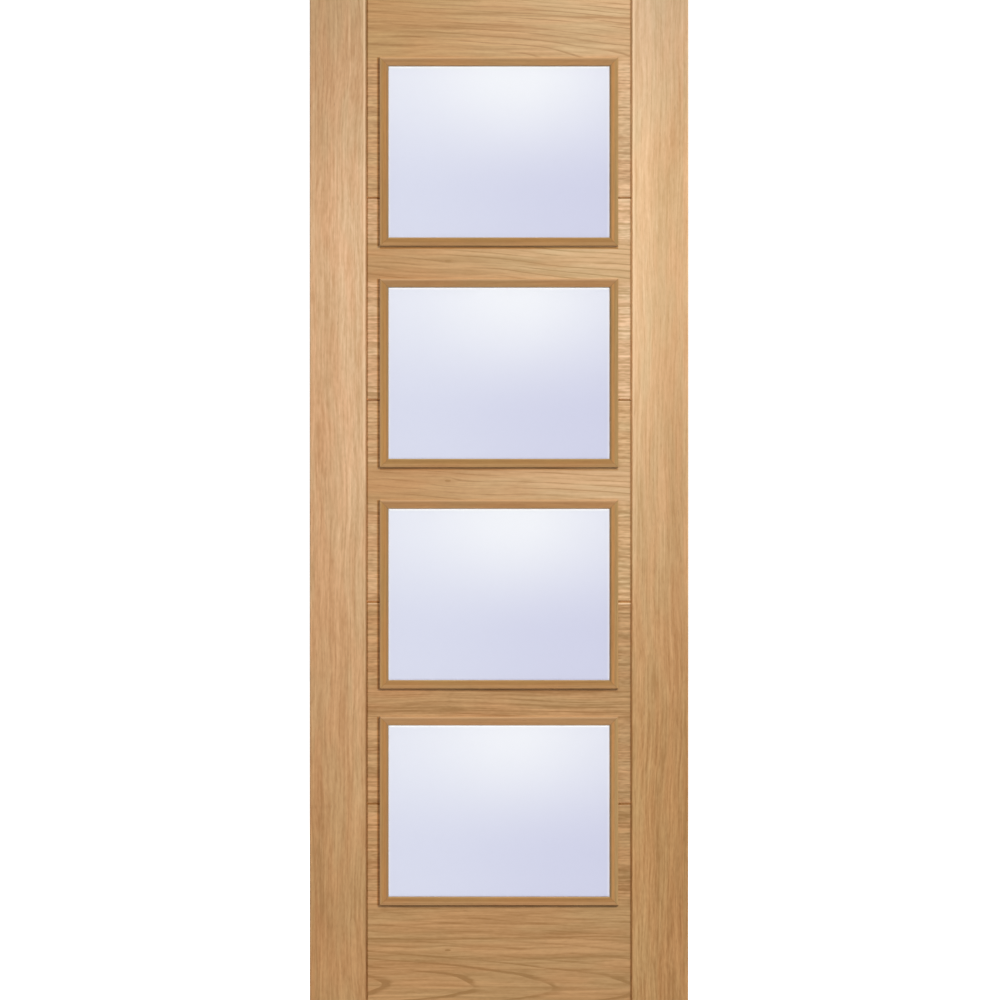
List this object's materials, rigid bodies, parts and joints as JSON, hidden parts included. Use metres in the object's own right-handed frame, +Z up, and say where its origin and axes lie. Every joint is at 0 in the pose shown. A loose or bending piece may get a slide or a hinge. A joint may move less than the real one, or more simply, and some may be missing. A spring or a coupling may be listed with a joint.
{
  "type": "glazed interior door leaf",
  "caption": "Oak interior door leaf with lipped stiles, V-jointed cross boards and a column of satin glass panes held by mitred beads on both faces.",
  "frame": {"origin": "foot of the hinge edge, half way through the leaf's thickness", "axes": "+X across the leaf from the hinge edge to the latch edge, +Y through the leaf with the front face towards -Y, +Z up"},
  "size_m": [0.762, 0.043, 2.032],
  "materials": {
    "oak_stile": "clear satin lacquer",
    "oak_board": "clear satin lacquer",
    "oak_lipping": "clear satin lacquer",
    "oak_bead": "clear satin lacquer",
    "satin_glass": "acid-etched satin"
  },
  "bodies": {
    "root": {"hinge_stile": "oak_stile", "latch_stile": "oak_stile", "hinge_edge_lipping": "oak_lipping", "latch_edge_lipping": "oak_lipping", "top_rail": "oak_board", "upper_cross_rail": "oak_board", "middle_cross_rail": "oak_board", "lower_cross_rail": "oak_board", "bottom_rail": "oak_board", "top_pane_glass": "satin_glass", "top_pane_front_head_bead": "oak_bead", "top_pane_front_sill_bead": "oak_bead", "top_pane_front_hinge_bead": "oak_bead", "top_pane_front_latch_bead": "oak_bead", "top_pane_back_head_bead": "oak_bead", "top_pane_back_sill_bead": "oak_bead", "top_pane_back_hinge_bead": "oak_bead", "top_pane_back_latch_bead": "oak_bead", "upper_pane_glass": "satin_glass", "upper_pane_front_head_bead": "oak_bead", "upper_pane_front_sill_bead": "oak_bead", "upper_pane_front_hinge_bead": "oak_bead", "upper_pane_front_latch_bead": "oak_bead", "upper_pane_back_head_bead": "oak_bead", "upper_pane_back_sill_bead": "oak_bead", "upper_pane_back_hinge_bead": "oak_bead", "upper_pane_back_latch_bead": "oak_bead", "lower_pane_glass": "satin_glass", "lower_pane_front_head_bead": "oak_bead", "lower_pane_front_sill_bead": "oak_bead", "lower_pane_front_hinge_bead": "oak_bead", "lower_pane_front_latch_bead": "oak_bead", "lower_pane_back_head_bead": "oak_bead", "lower_pane_back_sill_bead": "oak_bead", "lower_pane_back_hinge_bead": "oak_bead", "lower_pane_back_latch_bead": "oak_bead", "bottom_pane_glass": "satin_glass", "bottom_pane_front_head_bead": "oak_bead", "bottom_pane_front_sill_bead": "oak_bead", "bottom_pane_front_hinge_bead": "oak_bead", "bottom_pane_front_latch_bead": "oak_bead", "bottom_pane_back_head_bead": "oak_bead", "bottom_pane_back_sill_bead": "oak_bead", "bottom_pane_back_hinge_bead": "oak_bead", "bottom_pane_back_latch_bead": "oak_bead"}
  },
  "joints": []
}
